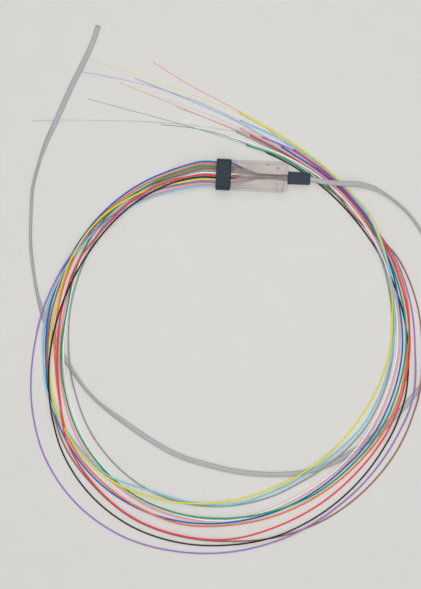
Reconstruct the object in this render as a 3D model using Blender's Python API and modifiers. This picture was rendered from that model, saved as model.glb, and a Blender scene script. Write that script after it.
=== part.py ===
"""Fibre breakout: a flat feed cable, a clear splitting housing and twelve colour-coded buffer tubes."""

import math

import bmesh
import bpy
import numpy as np
from mathutils import Matrix

MM = 0.001
GAP = 0.3 * MM  # between pieces that touch on the real object
FLOOR_LIFT = 0.01 * MM

# The housing lies along X, centred on the origin, with the comb at -X and the boot at +X.
BODY_LENGTH = 32.9 * MM
BODY_WIDTH = 17.4 * MM
BODY_HEIGHT = 6.2 * MM
WALL = 1.2 * MM
COMB_LENGTH = 8.2 * MM
COMB_PROUD = 0.15 * MM  # how far the comb's sides stand out past the body's
COMB_RISE = 0.4 * MM
COMB_CHEEK = 1.81 * MM  # from the comb's side to the middle of its first slot
COMB_WIDTH = BODY_WIDTH + 2 * COMB_PROUD
COMB_HEIGHT = BODY_HEIGHT + COMB_RISE
END_WALL = 1.8 * MM
BOOT_LENGTH = 12.8 * MM
BOOT_WIDTH = 7.5 * MM
BOOT_HEIGHT = 3.9 * MM
CABLE_DOOR_WIDTH = 4.6 * MM
CABLE_DOOR_HEIGHT = 2.8 * MM
EDGE_ROUNDING = 0.5 * MM
BODY_CORNER = 2.5 * MM
BOOT_ROUNDING = 0.9 * MM

MID_HEIGHT = BODY_HEIGHT / 2
HOUSING_LENGTH = COMB_LENGTH + GAP + BODY_LENGTH + GAP + BOOT_LENGTH
COMB_FACE_X = -HOUSING_LENGTH / 2
BODY_START_X = COMB_FACE_X + COMB_LENGTH + GAP
BODY_END_X = BODY_START_X + BODY_LENGTH
BOOT_START_X = BODY_END_X + GAP
BOOT_END_X = BOOT_START_X + BOOT_LENGTH

TUBE_RADIUS = 0.45 * MM
FIBRE_RADIUS = 0.125 * MM
LEG_COUNT = 12
TUBE_PITCH = (COMB_WIDTH - 2 * COMB_CHEEK) / (LEG_COUNT - 1)
TUBE_POINTS = 60
FIBRE_STEP = 9.0 * MM
INNER_POINTS = 10
CABLE_WIDTH = 3.0 * MM
CABLE_THICKNESS = 1.6 * MM
CABLE_POINTS = 66
CABLE_SIDES = 12

# The legs run once around this centre. Bearings are in degrees, counter-clockwise from +Y.
LOOP_CENTRE = (-13.4, -101.7)
FIRST_BEARING = 17.9
BEARING_STEP = 15.0

# Each leg's distance from the loop's centre in mm at every bearing, in the order of the comb's slots.
LEG_RADII = {
    "blue": (110.4, 110.2, 109.2, 108.1, 107.9, 107.4, 108.6, 108.7, 108.1, 105.9, 102.7, 99.4,
             96.7, 94.9, 94.3, 95.5, 97.1, 99.2, 100.9, 105.4, 110.0, 114.8, 121.0),
    "orange": (108.8, 108.8, 108.0, 105.7, 103.4, 102.1, 103.4, 107.1, 106.6, 105.3, 104.2, 100.9,
               98.9, 97.9, 98.0, 99.4, 101.0, 102.3, 106.0, 108.1, 108.9, 114.0, 120.2),
    "green": (107.8, 107.0, 105.8, 102.4, 98.1, 98.4, 99.3, 100.7, 100.9, 100.2, 98.6, 96.7,
              95.8, 96.0, 96.2, 97.5, 99.1, 101.2, 103.1, 105.8, 108.2, 109.8, 115.8),
    "brown": (106.3, 107.2, 107.1, 106.7, 106.4, 106.5, 108.1, 111.1, 111.7, 112.6, 111.4, 110.4,
              111.2, 111.8, 111.9, 112.1, 111.6, 110.8, 111.1, 110.4, 105.4, 111.0, 118.6),
    "slate": (105.3, 105.3, 103.2, 99.3, 96.4, 94.1, 93.6, 94.1, 94.1, 93.7, 92.0, 89.7,
              87.6, 86.0, 87.0, 89.6, 91.6, 94.0, 96.4, 101.4, 107.0, 112.9, 117.8),
    "white": (104.6, 104.9, 104.1, 101.3, 97.6, 97.0, 97.6, 99.1, 99.9, 100.0, 99.5, 98.0,
              94.3, 92.1, 91.6, 92.0, 93.2, 96.2, 98.6, 102.4, 106.5, 112.0, 117.2),
    "red": (104.0, 104.4, 102.5, 102.4, 101.1, 100.7, 102.8, 108.7, 111.0, 112.1, 110.8, 109.0,
            105.1, 102.6, 101.3, 101.7, 102.1, 103.2, 104.9, 107.1, 110.6, 116.3, 123.8),
    "black": (102.8, 102.4, 100.9, 100.2, 101.5, 104.6, 108.6, 113.8, 116.6, 117.0, 115.1, 112.4,
              110.2, 107.7, 105.8, 104.7, 104.2, 102.8, 102.0, 102.3, 104.3, 108.6, 114.6),
    "yellow": (101.5, 105.6, 107.8, 106.7, 104.7, 105.2, 106.5, 105.9, 102.7, 96.9, 91.3, 86.8,
               83.3, 81.8, 82.2, 83.8, 87.3, 92.0, 96.6, 104.0, 112.2, 118.2, 126.7),
    "violet": (100.5, 103.5, 104.7, 108.2, 110.8, 114.5, 119.7, 124.4, 126.0, 124.5, 120.4, 116.5,
               112.9, 109.9, 108.5, 108.1, 108.6, 106.7, 107.6, 109.3, 109.8, 115.4, 122.5),
    "rose": (98.9, 101.5, 102.7, 102.1, 99.6, 99.5, 100.6, 102.5, 102.5, 102.1, 100.8, 98.0,
             94.4, 93.1, 92.6, 93.4, 94.8, 97.4, 99.5, 103.0, 107.6, 113.3, 119.6),
    "aqua": (97.7, 100.9, 103.9, 106.7, 109.0, 109.0, 108.7, 105.0, 101.3, 93.5, 90.7, 88.9,
             85.3, 83.5, 84.3, 87.7, 90.1, 93.4, 97.6, 103.4, 111.3, 117.2, 125.0),
}

# The first point is where the buffer tube is cut off. The bare fibre runs on through the others, in mm.
LEG_TAILS = {
    "blue": ((9.5, 18.2), (-11.6, 29.0), (-33.3, 38.0), (-55.4, 46.0), (-77.6, 53.6)),
    "orange": ((10.8, 15.6), (-8.4, 22.7), (-27.6, 29.9), (-46.9, 36.9), (-66.2, 43.8), (-85.6, 50.3)),
    "green": ((-10.8, 18.0), (-33.8, 24.5), (-57.0, 30.0), (-80.4, 35.1), (-103.7, 40.0)),
    "brown": ((-8.7, 23.7), (-30.5, 31.1), (-52.4, 38.0)),
    "slate": ((-17.0, 25.6), (-40.7, 27.8), (-64.4, 28.6), (-88.1, 28.3), (-111.8, 27.3), (-135.5, 25.7)),
    "white": ((-21.5, 22.8), (-37.8, 27.9), (-54.4, 31.5)),
    "red": ((16.9, 16.8), (-2.9, 30.5), (-24.3, 41.4), (-46.1, 51.6), (-67.1, 63.4)),
    "black": ((1.0, 14.3), (-19.1, 21.6), (-39.8, 26.0), (-61.2, 27.4)),
    "yellow": ((-15.2, 36.4), (-37.9, 43.8), (-60.7, 50.9), (-83.6, 57.6), (-106.6, 63.7)),
    "violet": ((-1.8, 23.1), (-21.6, 34.2), (-42.4, 42.4), (-64.0, 48.4), (-86.2, 52.6), (-108.5, 55.5)),
    "rose": ((-14.7, 27.4), (-35.8, 35.2), (-57.3, 41.8)),
    "aqua": ((-15.0, 32.1), (-30.4, 38.2), (-45.8, 44.1)),
}

# Which leg lies on which, lowest first: around the loop, and over its last stretch.
LOOP_ORDER = ("blue", "brown", "orange", "rose", "white", "slate", "green", "aqua", "violet", "yellow",
              "red", "black")
CLOSING_ORDER = ("black", "violet", "green", "orange", "slate", "brown", "red", "rose", "white", "blue",
                 "yellow", "aqua")
CLOSING_BEARING = 265.0

LEG_COLOURS = {
    "blue": (0.010, 0.110, 0.500),
    "orange": (0.800, 0.130, 0.040),
    "green": (0.010, 0.300, 0.100),
    "brown": (0.250, 0.110, 0.060),
    "slate": (0.270, 0.300, 0.290),
    "white": (0.820, 0.820, 0.800),
    "red": (0.620, 0.030, 0.040),
    "black": (0.014, 0.014, 0.016),
    "yellow": (0.640, 0.580, 0.030),
    "violet": (0.290, 0.160, 0.480),
    "rose": (0.780, 0.290, 0.340),
    "aqua": (0.200, 0.540, 0.560),
}

# The feed cable's route in mm: x, y, how far it is lifted, and its roll in degrees (0 flat, 90 on edge).
CABLE_ROUTE = (
    (30.8, -0.6, 2.5, 0), (37.8, -1.6, 3.7, 0), (44.8, -1.8, 3.9, 0), (57.0, -1.8, 1.6, 0),
    (64.6, -3.4, 0, 25), (73.0, -7.8, 0, 75), (80.2, -12.8, 0, 90), (86.3, -18.3, 0, 90),
    (93.2, -27.2, 0, 90), (102.7, -44.2, 0, 90), (109.5, -63.0, 0, 90), (111.5, -80.3, 0, 90),
    (106.1, -99.7, 0, 70), (97.7, -116.4, 0, 25), (93.3, -122.5, 0, 0), (86.2, -131.5, 0, 0),
    (75.2, -143.7, 0, 0), (61.3, -155.4, 0, 0), (47.2, -164.3, 0, 0), (33.0, -169.6, 0, 0),
    (21.5, -171.5, 0, 0), (7.0, -172.1, 0, 0), (-9.9, -170.9, 0, 0), (-23.4, -168.3, 0, 0),
    (-37.2, -165.0, 0, 0), (-58.1, -155.3, 0, 0), (-71.2, -147.3, 0, 15), (-81.8, -140.4, 0, 45),
    (-89.6, -134.6, 0, 75), (-96.3, -128.2, 0, 80), (-104.8, -117.5, 0, 45), (-114.4, -103.2, 0, 10),
    (-122.1, -89.2, 0, 10), (-126.7, -76.1, 0, 60), (-130.1, -61.0, 0, 90), (-132.4, -46.2, 0, 90),
    (-133.1, -28.8, 0, 90), (-132.8, -12.0, 0, 90), (-130.6, -0.8, 0, 85), (-126.9, 12.6, 0, 40),
    (-121.3, 26.8, 0, 0), (-113.6, 46.6, 0, 0), (-106.5, 62.8, 0, 0), (-102.1, 74.2, 0, 0),
    (-99.8, 82.6, 0, 0),
)
CABLE_OVER_LEGS_END = 66.0 * MM  # up to this length from the boot the cable passes over the legs

# How the fibres draw together inside the body: the share of the way to the boot, and of the slots' spacing.
INNER_SPREAD = ((0.0, 1.0), (0.146, 0.62), (0.301, 0.31), (0.422, 0.06), (0.547, 0.0), (1.0, 0.0))
INNER_COLUMNS = 6
COLUMN_PITCH = 0.6 * MM
ROW_SHIFT = COLUMN_PITCH / 4  # to either side, so that seen from above no fibre hides another
ROW_RISE = 0.35 * MM

SAMPLE_STEP = 0.6 * MM
CROSSING_GAP = 0.12 * MM  # between legs that lie on each other
DROP_LENGTH = 12.0 * MM  # over which a leg comes down from the comb to the floor
STRAIGHT_EXIT = 7.0 * MM
SETTLING_ROUNDS = 14
END_ROWS = 4  # a tube's last points, which lie in the closing order
CLOSING_STRETCH_Y = -20.0 * MM
END_ROOM = 8.0 * MM  # clear length that a tube's end keeps from the route's last point before it


def smooth_route(points, spacing=None, count=None):
    """Even points along a smooth curve through the given ones, which may carry extra columns."""
    pts = np.array(points, float)
    run = np.linalg.norm(np.diff(pts[:, :2], axis=0), axis=1)
    slope = np.diff(pts, axis=0) / run[:, None]
    tangent = np.empty_like(pts)
    tangent[0] = slope[0]
    tangent[-1] = slope[-1]
    before = run[:-1, None]
    after = run[1:, None]
    tangent[1:-1] = (slope[:-1] * after + slope[1:] * before) / (before + after)
    fine = []
    for i in range(len(run)):
        t = np.linspace(0.0, 1.0, 30, endpoint=False)[:, None]
        near = (1 + 2 * t) * (1 - t) ** 2 * pts[i] + t * (1 - t) ** 2 * run[i] * tangent[i]
        far = t * t * (3 - 2 * t) * pts[i + 1] - t * t * (1 - t) * run[i] * tangent[i + 1]
        fine.append(near + far)
    fine = np.vstack(fine + [pts[-1:]])
    length = np.concatenate([[0.0], np.cumsum(np.linalg.norm(np.diff(fine[:, :2], axis=0), axis=1))])
    steps = count or max(3, int(round(length[-1] / spacing)) + 1)
    at = np.linspace(0.0, length[-1], steps)
    return np.column_stack([np.interp(at, length, fine[:, k]) for k in range(fine.shape[1])])


def bearing_point(bearing, radius):
    """The point of the loop at a bearing and a distance from its centre."""
    turn = math.radians(bearing)
    x = LOOP_CENTRE[0] - radius * math.sin(turn)
    y = LOOP_CENTRE[1] + radius * math.cos(turn)
    return x * MM, y * MM


def slot_y(index):
    """Where a leg's slot lies across the comb."""
    return (LEG_COUNT - 1 - 2 * index) / 2 * TUBE_PITCH


def leg_route(index, colour):
    """A leg's buffer tube and its bare fibre as seen from above, and the row where the fibre begins."""
    start_x = COMB_FACE_X - GAP
    route = [(start_x, slot_y(index)), (start_x - STRAIGHT_EXIT, slot_y(index))]
    for k, radius in enumerate(LEG_RADII[colour]):
        route.append(bearing_point(FIRST_BEARING + k * BEARING_STEP, radius))
    tail = [(x * MM, y * MM) for x, y in LEG_TAILS[colour]]
    route = [point for point in route if not passes(point, tail[0])]
    tube = smooth_route(route + [tail[0]], count=TUBE_POINTS)
    fibre = smooth_route(tail, spacing=FIBRE_STEP)
    return tube, fibre


def passes(point, tube_end):
    """Whether a point of the loop's last stretch lies beyond the place where the tube is cut off."""
    return point[1] > CLOSING_STRETCH_Y and COMB_FACE_X < point[0] < tube_end[0] + END_ROOM


def samples(points, radii):
    """Close points along a polyline, each with its place along the polyline and its radius."""
    out = []
    for i in range(len(points) - 1):
        length = np.linalg.norm(points[i + 1] - points[i])
        parts = max(1, int(math.ceil(length / SAMPLE_STEP)))
        for k in range(parts):
            t = k / parts
            spot = points[i] * (1 - t) + points[i + 1] * t
            out.append((spot[0], spot[1], i + t, radii[i]))
    out.append((points[-1][0], points[-1][1], len(points) - 1, radii[-1]))
    return np.array(out)


def bearing_of(spots):
    """The bearing of every spot as seen from the loop's centre, in degrees."""
    x = spots[:, 0] / MM - LOOP_CENTRE[0]
    y = spots[:, 1] / MM - LOOP_CENTRE[1]
    return np.degrees(np.arctan2(-x, y)) % 360


def lay_legs(legs, cable):
    """Heights of the legs' points: each leg rests on the floor, on the cable and on the legs beneath it."""
    strands = {}
    for colour, (tube, fibre) in legs.items():
        points = np.vstack([tube, fibre[1:]])
        radii = [TUBE_RADIUS] * (len(tube) - 1) + [FIBRE_RADIUS] * len(fibre)
        spots = samples(points, radii)
        closing = (bearing_of(spots) > CLOSING_BEARING) | (spots[:, 2] > len(tube) - END_ROWS)
        along = np.concatenate([[0.0], np.cumsum(np.linalg.norm(np.diff(spots[:, :2], axis=0), axis=1))])
        rank = np.where(closing, CLOSING_ORDER.index(colour), LOOP_ORDER.index(colour))
        least = np.where(along < DROP_LENGTH, MID_HEIGHT, spots[:, 3] + FLOOR_LIFT)
        for x, y, top, half in cable:
            near = np.hypot(spots[:, 0] - x, spots[:, 1] - y) < half + spots[:, 3] + GAP
            least = np.where(near, np.maximum(least, top + GAP + spots[:, 3]), least)
        strands[colour] = {"spots": spots, "rank": rank, "least": least, "count": len(points)}
    for colour, strand in strands.items():
        strand["z"] = settle(strand, strand["least"])
        strand["over"] = [(other, resting(strand, strands[other])) for other in strands if other != colour]
    for _ in range(SETTLING_ROUNDS):
        for strand in strands.values():
            needed = strand["least"].copy()
            for other, (upper, lower, rise) in strand["over"]:
                np.maximum.at(needed, upper, rise + strands[other]["z"][lower])
            strand["z"] = settle(strand, needed)
    heights = {}
    for colour, strand in strands.items():
        rows = np.isclose(strand["spots"][:, 2] % 1.0, 0.0)
        heights[colour] = strand["z"][rows]
    return heights


def resting(strand, other):
    """The sample pairs at which a strand lies over another, and how far above it each has to be."""
    offset = strand["spots"][:, None, :2] - other["spots"][None, :, :2]
    apart2 = (offset ** 2).sum(axis=2)
    clear2 = (strand["spots"][:, None, 3] + other["spots"][None, :, 3] + CROSSING_GAP) ** 2
    upper, lower = np.nonzero((other["rank"][None, :] < strand["rank"][:, None]) & (apart2 < clear2))
    return upper, lower, np.sqrt(clear2[upper, lower] - apart2[upper, lower])


def settle(strand, needed):
    """The height at every sample when each of the strand's points clears all that lies beside it."""
    place = strand["spots"][:, 2]
    last = strand["count"] - 1
    peaks = np.zeros(strand["count"])
    np.maximum.at(peaks, np.floor(place).astype(int), needed)
    np.maximum.at(peaks, np.minimum(np.ceil(place).astype(int), last), needed)
    return np.interp(place, np.arange(strand["count"]), peaks)


def material(name, colour, roughness, transmission=0.0):
    made = bpy.data.materials.new(name)
    made.use_nodes = True
    shader = made.node_tree.nodes["Principled BSDF"]
    shader.inputs["Base Color"].default_value = (*colour, 1.0)
    shader.inputs["Roughness"].default_value = roughness
    shader.inputs["Transmission Weight"].default_value = transmission
    return made


def box(name, start, size, rounding, holder, finish):
    """A rounded block given by its lowest corner and its size."""
    mesh = bmesh.new()
    centre = [a + b / 2 for a, b in zip(start, size)]
    bmesh.ops.create_cube(mesh, size=1.0, matrix=Matrix.Translation(centre) @ Matrix.Diagonal((*size, 1.0)))
    data = bpy.data.meshes.new(name)
    mesh.to_mesh(data)
    mesh.free()
    obj = bpy.data.objects.new(name, data)
    holder.objects.link(obj)
    if rounding:
        bevel = obj.modifiers.new("edges", "BEVEL")
        bevel.width = rounding
        bevel.segments = 2
    if finish:
        data.materials.append(finish)
    return obj


def round_corners(obj, x, radius):
    """Rounds the upright edges of a block at its end face x."""
    mesh = bmesh.new()
    mesh.from_mesh(obj.data)
    upright = [edge for edge in mesh.edges
               if all(abs(v.co.x - x) < FLOOR_LIFT for v in edge.verts)
               and abs(edge.verts[0].co.z - edge.verts[1].co.z) > MM]
    bmesh.ops.bevel(mesh, geom=upright, offset=radius, segments=4, affect="EDGES", profile=0.5)
    mesh.to_mesh(obj.data)
    mesh.free()


def strand_object(name, points, radius, holder, finish):
    """A round tube of the given radius along the given points."""
    curve = bpy.data.curves.new(name, "CURVE")
    curve.dimensions = "3D"
    curve.bevel_depth = radius
    curve.bevel_resolution = 2
    curve.use_fill_caps = True
    spline = curve.splines.new("POLY")
    spline.points.add(len(points) - 1)
    for spot, place in zip(spline.points, points):
        spot.co = (*place, 1.0)
    curve.materials.append(finish)
    obj = bpy.data.objects.new(name, curve)
    holder.objects.link(obj)
    return obj


def half_height(roll):
    """Half of the height that the flat cable takes when it is rolled by this many degrees."""
    return math.hypot(CABLE_WIDTH / 2 * math.sin(math.radians(roll)),
                      CABLE_THICKNESS / 2 * math.cos(math.radians(roll)))


def half_breadth(roll):
    """Half of the breadth that it takes then, as seen from above."""
    return math.hypot(CABLE_WIDTH / 2 * math.cos(math.radians(roll)),
                      CABLE_THICKNESS / 2 * math.sin(math.radians(roll)))


def cable_object(name, route, holder, profiles, finish):
    """The flat cable as an oval section drawn along its route."""
    outline = bpy.data.curves.new(name + "_section", "CURVE")
    outline.dimensions = "2D"
    oval = outline.splines.new("POLY")
    oval.points.add(CABLE_SIDES - 1)
    for k, spot in enumerate(oval.points):
        turn = -2 * math.pi * (k + 0.5) / CABLE_SIDES
        spot.co = (CABLE_WIDTH / 2 * math.cos(turn), CABLE_THICKNESS / 2 * math.sin(turn), 0.0, 1.0)
    oval.use_cyclic_u = True
    section = bpy.data.objects.new(name + "_section", outline)
    profiles.objects.link(section)
    section.hide_render = True

    curve = bpy.data.curves.new(name, "CURVE")
    curve.dimensions = "3D"
    curve.twist_mode = "Z_UP"
    curve.bevel_mode = "OBJECT"
    curve.bevel_object = section
    curve.use_fill_caps = True
    spline = curve.splines.new("POLY")
    spline.points.add(len(route) - 1)
    for spot, (x, y, lift, roll) in zip(spline.points, route):
        spot.co = (x, y, lift + half_height(roll) + FLOOR_LIFT, 1.0)
        spot.tilt = math.radians(roll)
    curve.materials.append(finish)
    obj = bpy.data.objects.new(name, curve)
    holder.objects.link(obj)
    return obj


for old in list(bpy.data.objects):
    bpy.data.objects.remove(old, do_unlink=True)

holder = bpy.data.collections.new("fibre_breakout")
cutters = bpy.data.collections.new("cutters")
bpy.context.scene.collection.children.link(holder)
bpy.context.scene.collection.children.link(cutters)
cutters.hide_render = True

charcoal = material("charcoal_plastic", (0.048, 0.062, 0.078), 0.5)
clear = material("clear_plastic", (0.80, 0.76, 0.75), 0.25, 0.9)
rubber = material("charcoal_rubber", (0.050, 0.064, 0.080), 0.6)
jacket = material("grey_jacket", (0.33, 0.33, 0.33), 0.5)

# Comb block: holds the twelve buffer tubes in one row.
box("comb_block", (COMB_FACE_X, -COMB_WIDTH / 2, 0.0), (COMB_LENGTH, COMB_WIDTH, COMB_HEIGHT),
    EDGE_ROUNDING, holder, charcoal)

# Clear body: a hollow moulding, open towards the comb and with a small door for the fibres at the boot.
body = box("clear_body", (BODY_START_X, -BODY_WIDTH / 2, 0.0), (BODY_LENGTH, BODY_WIDTH, BODY_HEIGHT),
           EDGE_ROUNDING, holder, clear)
round_corners(body, BODY_END_X, BODY_CORNER)
hollow_length = BODY_LENGTH - END_WALL
room = box("body_room", (BODY_START_X - WALL, -BODY_WIDTH / 2 + WALL, WALL),
           (hollow_length + WALL, BODY_WIDTH - 2 * WALL, BODY_HEIGHT - 2 * WALL), 0.0, cutters, None)
door_corner = (BODY_END_X - 2 * END_WALL, -CABLE_DOOR_WIDTH / 2, MID_HEIGHT - CABLE_DOOR_HEIGHT / 2)
door = box("body_door", door_corner, (3 * END_WALL, CABLE_DOOR_WIDTH, CABLE_DOOR_HEIGHT), 0.0, cutters, None)
for tool in (room, door):
    tool.display_type = "WIRE"
    cut = body.modifiers.new(tool.name, "BOOLEAN")
    cut.object = tool
    cut.operation = "DIFFERENCE"
    cut.solver = "EXACT"

# Boot: the sleeve that keeps the cable from kinking where it leaves the body.
box("cable_boot", (BOOT_START_X, -BOOT_WIDTH / 2, MID_HEIGHT - BOOT_HEIGHT / 2),
    (BOOT_LENGTH, BOOT_WIDTH, BOOT_HEIGHT), BOOT_ROUNDING, holder, rubber)

# Feed cable: leaves the boot, passes over the legs, runs around the coil and ends in a plain cut.
first_lift = MID_HEIGHT - half_height(0.0) - FLOOR_LIFT
cable_points = [(BOOT_END_X + GAP, 0.0, first_lift, 0.0)]
cable_points += [(x * MM, y * MM, lift * MM, roll) for x, y, lift, roll in CABLE_ROUTE]
cable_route = smooth_route(cable_points, count=CABLE_POINTS)
cable_route[:, 2] = np.maximum(cable_route[:, 2], 0.0)
cable_object("feed_cable", cable_route, holder, cutters, jacket)

# Legs: a buffer tube each, with the bare fibre beyond its cut end.
cable_spots = samples(cable_route[:, :2], [0.0] * len(cable_route))
cable_along = np.concatenate(
    [[0.0], np.cumsum(np.linalg.norm(np.diff(cable_spots[:, :2], axis=0), axis=1))])
lying_cable = []
for (x, y, place, _), travelled in zip(cable_spots, cable_along):
    if travelled > CABLE_OVER_LEGS_END:
        roll = float(np.interp(place, np.arange(len(cable_route)), cable_route[:, 3]))
        lying_cable.append((x, y, 2 * half_height(roll) + FLOOR_LIFT, half_breadth(roll)))
legs = {colour: leg_route(index, colour) for index, colour in enumerate(LEG_RADII)}
heights = lay_legs(legs, lying_cable)
for colour, (tube, fibre) in legs.items():
    levels = heights[colour]
    tube_line = np.column_stack([tube, levels[:len(tube)]])
    fibre_line = np.column_stack([fibre, levels[len(tube) - 1:]])
    onward = fibre_line[1] - fibre_line[0]
    fibre_line[0] = fibre_line[0] + onward / np.linalg.norm(onward) * GAP
    skin = material(colour + "_tube", LEG_COLOURS[colour], 0.4)
    strand_object("tube_" + colour, tube_line, TUBE_RADIUS, holder, skin)
    strand_object("fibre_" + colour, fibre_line, FIBRE_RADIUS, holder, skin)

# Inner fibres: each runs from its comb slot into a narrow double row and on to the boot.
inner_length = BOOT_START_X - GAP - BODY_START_X
for index, colour in enumerate(LEG_RADII):
    row = 1 if index % 2 == 0 else -1
    column_y = ((INNER_COLUMNS - 1) / 2 - index // 2) * COLUMN_PITCH + row * ROW_SHIFT
    rise = row * ROW_RISE
    line = []
    for way, share in INNER_SPREAD:
        line.append((BODY_START_X + way * inner_length, column_y + (slot_y(index) - column_y) * share,
                     MID_HEIGHT + rise * (1 - share)))
    inner = smooth_route(line, count=INNER_POINTS)
    skin = bpy.data.materials[colour + "_tube"]
    strand_object("inner_fibre_" + colour, inner, FIBRE_RADIUS, holder, skin)
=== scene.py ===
"""A fibre breakout cable on a pale table: feed cable, boot, clear body, comb and twelve coloured legs."""

import math

import bmesh
import bpy
import numpy as np
from mathutils import Matrix, Vector


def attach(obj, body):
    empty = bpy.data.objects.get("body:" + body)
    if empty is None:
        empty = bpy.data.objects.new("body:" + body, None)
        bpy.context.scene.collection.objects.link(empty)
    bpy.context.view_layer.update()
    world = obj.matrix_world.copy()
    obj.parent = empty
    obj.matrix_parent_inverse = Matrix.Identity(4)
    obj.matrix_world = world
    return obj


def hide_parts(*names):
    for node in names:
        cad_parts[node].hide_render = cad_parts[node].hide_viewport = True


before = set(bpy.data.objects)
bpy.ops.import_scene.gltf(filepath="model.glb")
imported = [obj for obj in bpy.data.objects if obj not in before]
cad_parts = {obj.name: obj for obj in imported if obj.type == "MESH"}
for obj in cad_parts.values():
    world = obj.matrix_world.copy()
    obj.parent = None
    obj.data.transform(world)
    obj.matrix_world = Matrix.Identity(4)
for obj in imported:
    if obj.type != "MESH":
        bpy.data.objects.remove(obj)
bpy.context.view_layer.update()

# Feed cable
# A flat twelve-fibre cable, 3.0 by 1.6 mm, with a grey extruded jacket. It leaves the boot, passes over the
# legs, turns on its narrow edge around the coil's sides and ends in a plain cut at the far left.

MM = 0.001
GAP = 0.3 * MM
FLOOR_LIFT = 0.01 * MM
CABLE_WIDTH = 3.0 * MM
CABLE_THICKNESS = 1.6 * MM
BOOT_END_X = 27.25 * MM
MID_HEIGHT = 3.1 * MM
CABLE_IN_BOOT = 2.0 * MM
CABLE_HOLLOW = 1.2 * MM  # how far the jacket is bored back at its cut end
CABLE_WALL = 0.28 * MM
CABLE_SIDES = 28
RING_STEP = 2.5 * MM  # between the rings of a drawn cable or tube
CURVE_STEPS = 30  # between two points of a route
CABLE_ROUTE = (
    (30.8, -0.6, 2.5, 0), (37.8, -1.6, 3.7, 0), (44.8, -1.8, 3.9, 0), (57.0, -1.8, 1.6, 0),
    (64.6, -3.4, 0, 25), (73.0, -7.8, 0, 75), (80.2, -12.8, 0, 90), (86.3, -18.3, 0, 90),
    (93.2, -27.2, 0, 90), (102.7, -44.2, 0, 90), (109.5, -63.0, 0, 90), (111.5, -80.3, 0, 90),
    (106.1, -99.7, 0, 70), (97.7, -116.4, 0, 25), (93.3, -122.5, 0, 0), (86.2, -131.5, 0, 0),
    (75.2, -143.7, 0, 0), (61.3, -155.4, 0, 0), (47.2, -164.3, 0, 0), (33.0, -169.6, 0, 0),
    (21.5, -171.5, 0, 0), (7.0, -172.1, 0, 0), (-9.9, -170.9, 0, 0), (-23.4, -168.3, 0, 0),
    (-37.2, -165.0, 0, 0), (-58.1, -155.3, 0, 0), (-71.2, -147.3, 0, 15), (-81.8, -140.4, 0, 45),
    (-89.6, -134.6, 0, 75), (-96.3, -128.2, 0, 80), (-104.8, -117.5, 0, 45), (-114.4, -103.2, 0, 10),
    (-122.1, -89.2, 0, 10), (-126.7, -76.1, 0, 60), (-130.1, -61.0, 0, 90), (-132.4, -46.2, 0, 90),
    (-133.1, -28.8, 0, 90), (-132.8, -12.0, 0, 90), (-130.6, -0.8, 0, 85), (-126.9, 12.6, 0, 40),
    (-121.3, 26.8, 0, 0), (-113.6, 46.6, 0, 0), (-106.5, 62.8, 0, 0), (-102.1, 74.2, 0, 0),
    (-99.8, 82.6, 0, 0),
)


def smooth_route(points, spacing=None, count=None):
    """Even points along a smooth curve through the given ones, which may carry extra columns."""
    pts = np.array(points, float)
    run = np.linalg.norm(np.diff(pts[:, :2], axis=0), axis=1)
    slope = np.diff(pts, axis=0) / run[:, None]
    tangent = np.empty_like(pts)
    tangent[0] = slope[0]
    tangent[-1] = slope[-1]
    before = run[:-1, None]
    after = run[1:, None]
    tangent[1:-1] = (slope[:-1] * after + slope[1:] * before) / (before + after)
    fine = []
    for i in range(len(run)):
        t = np.linspace(0.0, 1.0, CURVE_STEPS, endpoint=False)[:, None]
        near = (1 + 2 * t) * (1 - t) ** 2 * pts[i] + t * (1 - t) ** 2 * run[i] * tangent[i]
        far = t * t * (3 - 2 * t) * pts[i + 1] - t * t * (1 - t) * run[i] * tangent[i + 1]
        fine.append(near + far)
    fine = np.vstack(fine + [pts[-1:]])
    length = np.concatenate([[0.0], np.cumsum(np.linalg.norm(np.diff(fine[:, :2], axis=0), axis=1))])
    steps = count or max(3, int(round(length[-1] / spacing)) + 1)
    at = np.linspace(0.0, length[-1], steps)
    return np.column_stack([np.interp(at, length, fine[:, k]) for k in range(fine.shape[1])])


def half_height(roll):
    """Half of the height that the flat cable takes when it is rolled by this many degrees."""
    return math.hypot(CABLE_WIDTH / 2 * math.sin(math.radians(roll)),
                      CABLE_THICKNESS / 2 * math.cos(math.radians(roll)))


def placed(name, data):
    """An object in the scene for a mesh."""
    obj = bpy.data.objects.new(name, data)
    bpy.context.scene.collection.objects.link(obj)
    return obj


def finished(name, mesh):
    """An object of a mesh that has been built, with its faces turned outward."""
    bmesh.ops.recalc_face_normals(mesh, faces=mesh.faces)
    data = bpy.data.meshes.new(name)
    mesh.to_mesh(data)
    mesh.free()
    return placed(name, data)


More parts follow.
